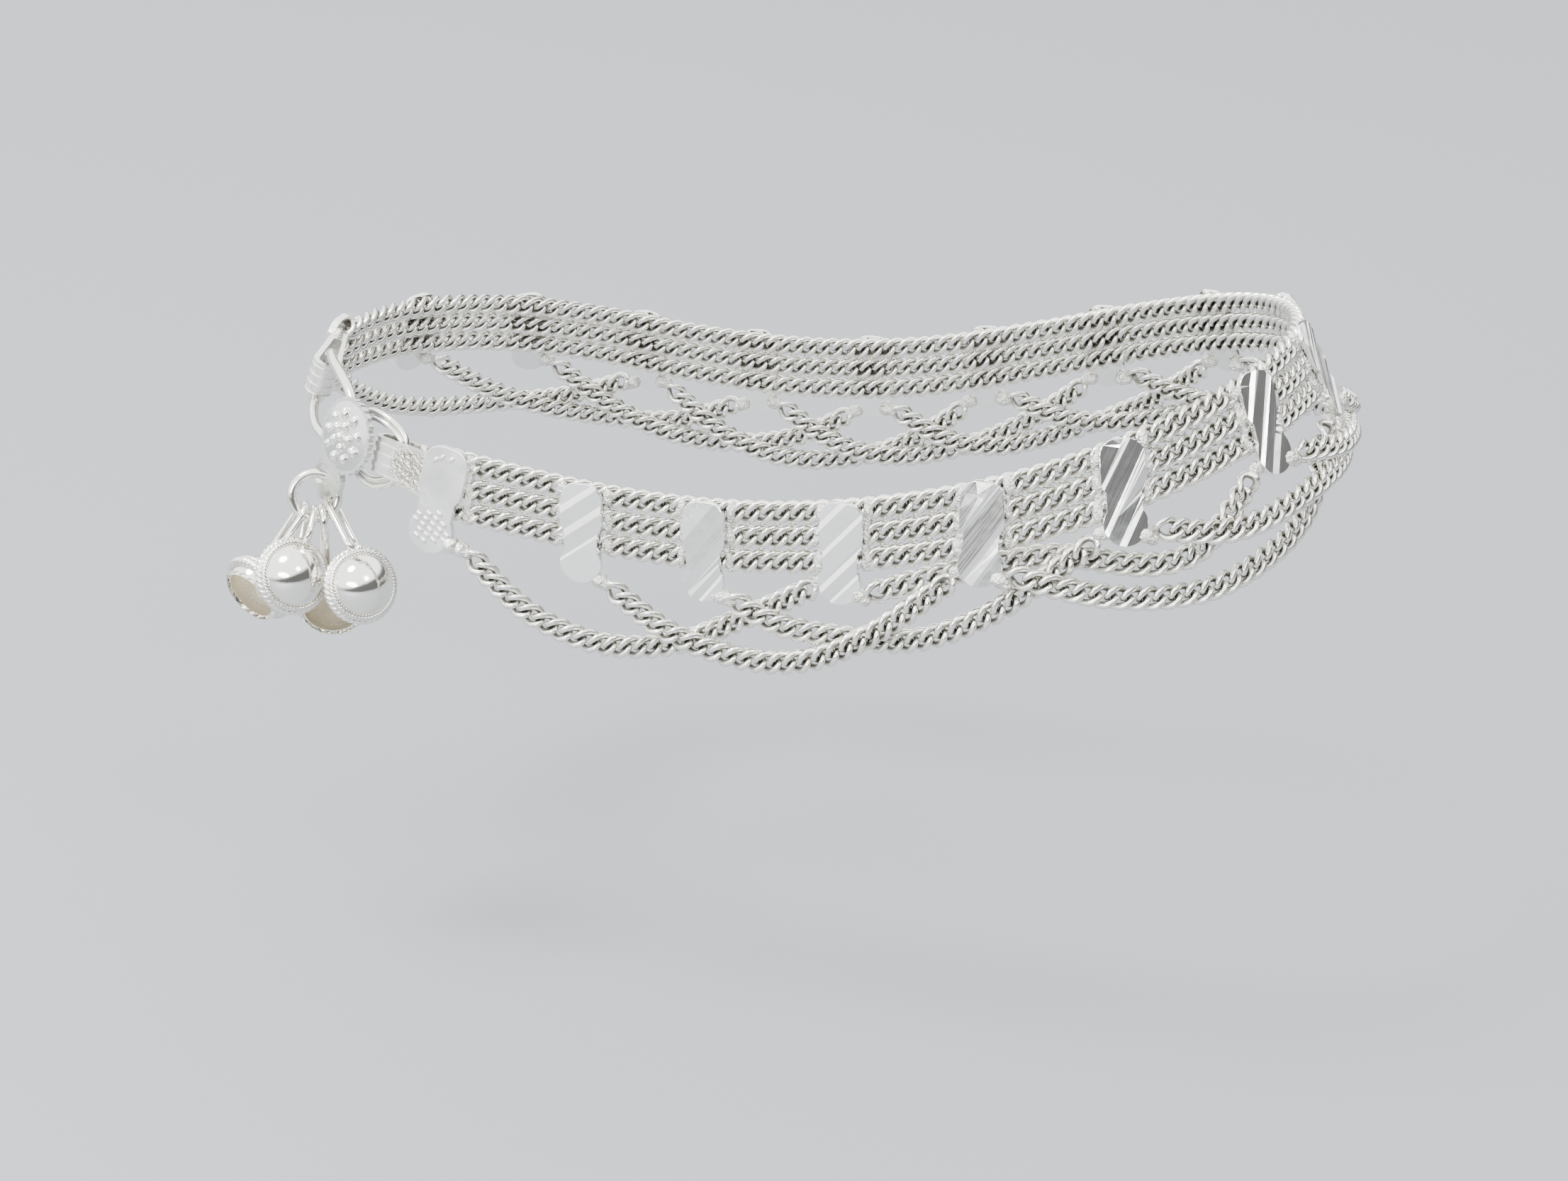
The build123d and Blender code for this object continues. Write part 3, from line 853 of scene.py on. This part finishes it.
def bell_axes(centre, mouth, ring_place):
    """The bell's own axes, z towards its mouth and x towards its hold, and that hold on the jump ring."""
    x_ring, y_ring, _ = ring_axes()
    turn = radians(ring_place - 90.0)
    hold = ring_centre + (x_ring * cos(turn) + y_ring * sin(turn)) * ring_radius
    axis = mouth.normalized()
    reach = hold - centre
    across = (reach - axis * reach.dot(axis)).normalized()
    return across, axis, hold


def make_bell(name, centre, mouth, ring_place):
    """The cup with its wire loop and the solder that holds it, and the two rope bands."""
    x_ring, y_ring, _ = ring_axes()
    loop_half_width, loop_wire, loop_swing = bell_loops[name]
    across, axis, hold = bell_axes(centre, mouth, ring_place)
    own = axes_matrix(centre, across, axis.cross(across), axis)
    cup = make_cup(name)
    cup.matrix_world = own
    rim = centre + across * (bell_radius + loop_root)
    reach = (hold - rim).normalized()
    far = hold + reach * (ring_wire + loop_wire + loop_play)
    near = rim - reach * loop_sink
    length = (far - near).length
    tangent = x_ring * cos(radians(ring_place)) + y_ring * sin(radians(ring_place))
    square = (tangent - reach * tangent.dot(reach)).normalized()
    loop_axes = axes_matrix((near + far) / 2, reach, square.cross(reach), square) @ turned(loop_swing, "X")
    loop = make_loop(length, loop_half_width, loop_wire)
    loop.matrix_world = loop_axes
    parts = [cup, loop]
    for slide in foot_places:
        foot = make_lump(foot_seed, rough_lump)
        bpy.ops.object.shade_smooth()
        foot.matrix_world = axes_matrix(near + square * slide, reach, square.cross(reach), square)
        foot.matrix_world = foot.matrix_world @ Matrix.Scale(foot_radius, 4)
        parts.append(foot)
    if name == curled_bell:
        curl = make_loop(*curl_size)
        curl.matrix_world = loop_axes @ Matrix.Translation((loop_half_width - length / 2, -curl_drop, 0))
        parts.append(curl)
    body = join(parts, f"{name}_cup")
    beyond, tube, ridges = thick_rope
    thick = make_rope(bell_radius + beyond, tube, ridges)
    thick.matrix_world = own
    beyond, tube, ridges = thin_rope
    thin = make_rope(bell_radius + beyond, tube, ridges)
    thin.matrix_world = own @ Matrix.Translation((0, 0, -rope_step))
    return body, join([thick, thin], f"{name}_rope_bands")


# ---------------------------------------------------------------- medallion
# how far each petal turns from its place in its ring, in radians, and the spans for its half sizes
petal_swing = 0.5
petal_size = ((0.52, 0.7), (0.45, 0.55), (0.43, 0.5))


def disc_centre():
    u, h = medallion_place
    return place(u, h, medallion_back)


def make_petals(lumps):
    """Uneven raised petals, each over one of the plain grains on the medallion's dome."""
    _, along, normal, _ = band_frame(medallion_place[0])
    turn = radians(medallion_turn)
    across = along * cos(turn) + normal * sin(turn)
    facing = normal * cos(turn) - along * sin(turn)
    own = axes_matrix(disc_centre(), across, facing.cross(across), facing)
    dome_reach = medallion_radius - rim_land
    ball_radius = (dome_reach ** 2 + medallion_dome ** 2) / (2 * medallion_dome)
    rng = random.Random(41)
    parts = []
    for count, radius in grain_rings:
        for i in range(count):
            spin = 2 * pi * i / count + radius
            height = medallion_rim + medallion_dome + sqrt(ball_radius ** 2 - radius ** 2) - ball_radius
            spot = Matrix.Translation((radius * cos(spin), radius * sin(spin), height))
            spot = spot @ Matrix.Rotation(spin + rng.uniform(-petal_swing, petal_swing), 4, "Z")
            size = Matrix.Diagonal((*draw_size(rng, petal_size), 1))
            parts.append(copy_at(rng.choice(lumps), own @ spot @ size))
    petals = join(parts, "s_hook_petals")
    bpy.ops.object.shade_smooth()
    return petals


# ---------------------------------------------------------------- materials
# the size of the patches where colour and gloss change, of the pits, and of the tool's lines
patch_mm = 2.6
pit_size_mm = 0.42
line_spacing_mm = 0.13
line_length_mm = 5.0
line_depth_mm = 0.004
wave_depth_mm = 0.05
# the melted patch on the near strap: points before the plate, how low, and how wide
strap_reaches = (2.6, 3.6, 4.5)
strap_h = -0.3
strap_patch_radius = 1.4
strap_patch_soft = 0.8
medallion_face_radius = 4.3
medallion_face_soft = 0.2
bell_hollow_radius = 3.0
bell_hollow_soft = 0.05
# where most of the noise's values lie, and how far the tool's lines change the roughness
patch_range = (0.3, 0.7)
scratch_range = (0.35, 0.65)
scratch_gloss = (-0.04, 0.06)
# a mix node's colour sockets and its number sockets: first, second and result
first_colour, second_colour, mixed_colour = 6, 7, 2
first_number, second_number, mixed_number = 2, 3, 0


def colour(value):
    """An sRGB hex colour as linear red, green, blue and alpha."""
    parts = [int(value[i : i + 2], 16) / 255 for i in (1, 3, 5)]
    return tuple(c / 12.92 if c <= 0.04045 else ((c + 0.055) / 1.055) ** 2.4 for c in parts) + (1.0,)


def add_node(tree, kind, settings=None, links=None):
    """A node with its settings (properties by name, input sockets by name or number) and its links."""
    node = tree.nodes.new(kind)
    for name, value in (settings or {}).items():
        if isinstance(name, str) and hasattr(node, name):
            setattr(node, name, value)
        else:
            node.inputs[name].default_value = value
    for name, source in (links or {}).items():
        tree.links.new(source, node.inputs[name])
    return node


def object_place(tree):
    return add_node(tree, "ShaderNodeTexCoord").outputs["Object"]


def add_noise(tree, vector, scale, detail):
    settings = {"Scale": scale, "Detail": detail}
    return add_node(tree, "ShaderNodeTexNoise", settings, {"Vector": vector}).outputs[0]


def add_range(tree, value, source, target, settings=None):
    """A value carried from one range to another."""
    settings = dict(settings or {})
    settings.update({"From Min": source[0], "From Max": source[1]})
    settings.update({"To Min": target[0], "To Max": target[1]})
    return add_node(tree, "ShaderNodeMapRange", settings, {"Value": value}).outputs[0]


def add_relief(tree, depth_mm, links):
    settings = {"Strength": 1.0, "Distance": depth_mm * MM}
    return add_node(tree, "ShaderNodeBump", settings, links).outputs[0]


def add_tint(tree, dull, base, factor):
    settings = {"data_type": "RGBA", first_colour: colour(dull), second_colour: colour(base)}
    return add_node(tree, "ShaderNodeMix", settings, {0: factor}).outputs[mixed_colour]


def new_material(name, base, roughness):
    material = bpy.data.materials.new(name)
    material.use_nodes = True
    tree = material.node_tree
    shader = tree.nodes["Principled BSDF"]
    shader.inputs["Base Color"].default_value = colour(base)
    shader.inputs["Metallic"].default_value = 1.0
    shader.inputs["Roughness"].default_value = roughness
    return material, tree, shader


def join_surface(tree, shader, tint, gloss, relief):
    tree.links.new(tint, shader.inputs["Base Color"])
    tree.links.new(gloss, shader.inputs["Roughness"])
    tree.links.new(relief, shader.inputs["Normal"])


def near_points(tree, points, radius, soft):
    """A factor that is one within a radius of any of the points and fades out over soft, in mm."""
    coordinates = object_place(tree)
    nearest = None
    for point in points:
        settings = {"operation": "DISTANCE", 1: tuple(point * MM)}
        distance = add_node(tree, "ShaderNodeVectorMath", settings, {0: coordinates}).outputs["Value"]
        if nearest is None:
            nearest = distance
        else:
            settings = {"operation": "MINIMUM"}
            nearest = add_node(tree, "ShaderNodeMath", settings, {0: nearest, 1: distance}).outputs[0]
    return add_range(tree, nearest, (radius * MM, (radius + soft) * MM), (1.0, 0.0))


def inside_links(tree):
    """The inner side of the chains' wire, where painted shade and some tarnish go."""
    return add_node(tree, "ShaderNodeAttribute", {"attribute_name": "inside"}).outputs["Fac"]


def strap_patch(tree):
    """The middle of the near strap, where solder was melted over its ribs."""
    points = [place(plate_places[0] - reach, strap_h, 1.0) for reach in strap_reaches]
    return near_points(tree, points, strap_patch_radius, strap_patch_soft)


def medallion_face(tree):
    return near_points(tree, [disc_centre()], medallion_face_radius, medallion_face_soft)


def bell_hollows(tree):
    return near_points(tree, [row[1] for row in bells], bell_hollow_radius, bell_hollow_soft)


def silver(
    name, base, dull, roughness, spread, grain_mm, depth_mm, mask=None, stain="", worn=0.0, pits_mm=0.0
):
    """White silver: a patchy colour and gloss, and a fine relief of the given size and depth.

    Where mask, a function of the node tree, gives one, the silver takes the given colour, the worn
    roughness and pits of the given depth. On the chains that colour is painted shade inside the
    links, partly tarnish; elsewhere it is the finish's own colour.
    """
    material, tree, shader = new_material(name, base, roughness)
    coordinates = object_place(tree)
    patches = add_noise(tree, coordinates, 1 / (patch_mm * MM), 3.0)
    tint = add_tint(tree, dull, base, patches)
    gloss = add_range(tree, patches, patch_range, (roughness - spread, roughness + spread))
    grain = add_noise(tree, coordinates, 1 / (grain_mm * MM), 4.0)
    relief = add_relief(tree, depth_mm, {"Height": grain})
    if mask:
        factor = mask(tree)
        # this mix lays the given colour where the mask is one: on the chains, painted shade inside the
        # links, partly tarnish
        settings = {"data_type": "RGBA", second_colour: colour(stain)}
        stained = add_node(tree, "ShaderNodeMix", settings, {0: factor, first_colour: tint})
        tint = stained.outputs[mixed_colour]
        worn_down = add_node(tree, "ShaderNodeMix", {second_number: worn}, {0: factor, first_number: gloss})
        gloss = worn_down.outputs[mixed_number]
        if pits_mm:
            pits = add_noise(tree, coordinates, 1 / (pit_size_mm * MM), 2.0)
            relief = add_relief(tree, pits_mm, {"Strength": factor, "Height": pits, "Normal": relief})
    join_surface(tree, shader, tint, gloss, relief)
    return material


def cut_sheet(name, base, dull, roughness):
    """Silver sheet cut with a diamond tool: fine lines along the cuts over a faint waviness."""
    material, tree, shader = new_material(name, base, roughness)
    lines = add_node(tree, "ShaderNodeUVMap", {"uv_map": "cut_lines"}).outputs[0]
    settings = {"Scale": (1 / line_spacing_mm, 1 / line_length_mm, 1)}
    stretched = add_node(tree, "ShaderNodeMapping", settings, {"Vector": lines}).outputs[0]
    scratches = add_noise(tree, stretched, 1.0, 2.0)
    waves = add_noise(tree, object_place(tree), 1 / (patch_mm * MM), 2.0)
    tint = add_tint(tree, dull, base, waves)
    gloss = add_range(tree, scratches, scratch_range, [roughness + step for step in scratch_gloss])
    scored = add_relief(tree, line_depth_mm, {"Height": scratches})
    relief = add_relief(tree, wave_depth_mm, {"Height": waves, "Normal": scored})
    join_surface(tree, shader, tint, gloss, relief)
    return material


# drawn silver wire, tumbled bright: mirror-like, darkened inside the links by painted shade, partly tarnish
wire_silver = silver(
    "silver_wire_tumbled", "#F4F2EC", "#DEDCD2", 0.22, 0.06, 0.25, 0.014,
    mask=inside_links, stain="#4E4A43", worn=0.4,
)
# rolled silver sheet cut with a diamond tool: flat bright facets with fine lines
cut_silver = cut_sheet("silver_sheet_diamond_cut", "#F7F6F2", "#E9E8E3", 0.16)
# silver solder left frosted by the pickle: white and grainy
solder_silver = silver("silver_solder_frosted", "#F5F4F0", "#D6D3C9", 0.22, 0.08, 0.22, 0.26)
# silver sheet left satin from the rolls: a soft, even white
satin_silver = silver("silver_sheet_satin", "#F4F3F0", "#E2E1DC", 0.34, 0.06, 0.35, 0.03)
# folded silver strip, satin, with solder melted over its ribs near the end plate
strap_silver = silver(
    "silver_strip_satin", "#F3F2EE", "#DDDBD3", 0.34, 0.07, 0.3, 0.03,
    mask=strap_patch, stain="#CBC7BC", worn=0.2, pits_mm=0.5,
)
# bent silver wire, hand polished, under a cast medallion with a frosted face
hook_silver = silver(
    "silver_wire_polished", "#F3F1EA", "#E2E0D6", 0.18, 0.05, 0.6, 0.02,
    mask=medallion_face, stain="#D3D3D0", worn=0.34, pits_mm=0.03,
)
# cast silver grains, buffed on their tops: small bright dots over the frosted face
petal_silver = silver("silver_casting_buffed", "#F8F7F3", "#E8E6DF", 0.15, 0.05, 0.3, 0.03)
# stamped silver cups, buffed to a mirror outside, with a dull yellowed hollow
bell_silver = silver(
    "silver_cup_buffed", "#F4F2EC", "#E6E3DA", 0.1, 0.04, 1.2, 0.02,
    mask=bell_hollows, stain="#E9E2D2", worn=0.5, pits_mm=0.06,
)
# two silver wires twisted together and soldered on, buffed on their crests
rope_silver = silver("silver_wire_twisted", "#F5F3ED", "#DDDAD0", 0.2, 0.06, 0.3, 0.02)

# ---------------------------------------------------------------- the pieces
link = make_link()
for name, h in strand_drops.items():
    chain = lay_chain(f"chain_{name}_links", strand_corners(h), link, seed=round(h))
    finish_piece(chain, wire_silver)
    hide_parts(f"chain_{name}")
for k in range(plate_count - swag_reach):
    chain = lay_chain(f"swag_{k:02d}_links", swag_corners(k), link, seed=100 + k)
    finish_piece(chain, wire_silver)
    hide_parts(f"swag_{k:02d}")
remove(link)

lumps = [make_lump(seed, rough_lump) for seed in range(5)]
smooth_lumps = [make_lump(seed, smooth_lump) for seed in range(5, 8)]
for k in range(plate_count):
    at_end = k in (0, plate_count - 1)
    plate = finish_piece(make_plate(k), satin_silver if at_end else cut_silver)
    if not at_end:
        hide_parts(f"plate_{k:02d}")
    solder = make_solder(k, lumps, near_grain if k < near_plates else far_grain)
    finish_piece(solder, solder_silver)
finish_piece(make_petals(smooth_lumps), petal_silver)
for lump in lumps + smooth_lumps:
    remove(lump)

for name, centre, mouth, ring_place in bells:
    cup, ropes = make_bell(name, centre, mouth, ring_place)
    finish_piece(cup, bell_silver)
    finish_piece(ropes, rope_silver)
    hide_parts(name)

# of the solids, the end plates with their straps, the hook and the jump ring still show
for node_name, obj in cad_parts.items():
    material = strap_silver if node_name.startswith("plate") else hook_silver
    obj.data.materials.clear()
    obj.data.materials.append(material)

# ---------------------------------------------------------------- floor, light and camera
floor_height = -0.055
deselect()
bpy.ops.mesh.primitive_plane_add(size=6.0, location=(0, 0, floor_height))
floor = bpy.context.object
floor.name = "floor"
floor_paint, _, floor_shader = new_material("floor_matt_grey", "#888B8F", 0.7)
floor_shader.inputs["Metallic"].default_value = 0.0
floor.data.materials.append(floor_paint)


def aim(obj, target):
    obj.rotation_euler = (Vector(target) - obj.location).to_track_quat("-Z", "Y").to_euler()


def add_light(name, location, target, size, power):
    """A round lamp, its size in metres and its power in watts."""
    lamp = bpy.data.lights.new(name, "AREA")
    lamp.shape = "DISK"
    lamp.size = size
    lamp.energy = power
    holder = bpy.data.objects.new(name, lamp)
    holder.location = location
    # the lamps light every view and show in none
    holder.visible_camera = False
    bpy.context.collection.objects.link(holder)
    aim(holder, target)


add_light("key", (-0.35, -0.15, 0.75), (0, 0, 0), 0.3, 9.0)
add_light("fill", (0.5, -0.4, 0.6), (0, 0, 0), 0.25, 2.0)
# brightens the floor in front, which the plates mirror
add_light("front", (-0.09, -0.36, 0.12), (-0.09, -0.36, floor_height), 0.25, 2.0)

# a pale ceiling over dark walls: the walls draw thin dark lines in the polished silver
ceiling_direction = (-0.3, 0.0, 1.0)
ceiling_edge = (0.15, 0.4)
wall_and_ceiling_strength = (0.24, 3.8)
world = bpy.data.worlds.new("studio")
bpy.context.scene.world = world
world.use_nodes = True
sky = world.node_tree
direction = add_node(sky, "ShaderNodeTexCoord").outputs["Generated"]
settings = {"operation": "DOT_PRODUCT", 1: ceiling_direction}
rise = add_node(sky, "ShaderNodeVectorMath", settings, {0: direction}).outputs["Value"]
glow = add_range(
    sky, rise, ceiling_edge, wall_and_ceiling_strength, {"interpolation_type": "SMOOTHSTEP"}
)
background = sky.nodes["Background"]
background.inputs["Color"].default_value = colour("#F2F4F6")
sky.links.new(glow, background.inputs["Strength"])

camera_azimuth = radians(14.09)
camera_elevation = radians(19.17)
camera_distance = 0.2686
camera_data = bpy.data.cameras.new("camera")
camera_data.sensor_width = 36.0
camera_data.lens = 59.72
camera_data.shift_x = -0.0101
camera_data.shift_y = -0.1211
camera_data.clip_start = 0.01
camera = bpy.data.objects.new("camera", camera_data)
camera.location = camera_distance * Vector(
    (
        sin(camera_azimuth) * cos(camera_elevation),
        -cos(camera_azimuth) * cos(camera_elevation),
        sin(camera_elevation),
    )
)
bpy.context.collection.objects.link(camera)
aim(camera, (0, 0, 0))
bpy.context.scene.camera = camera
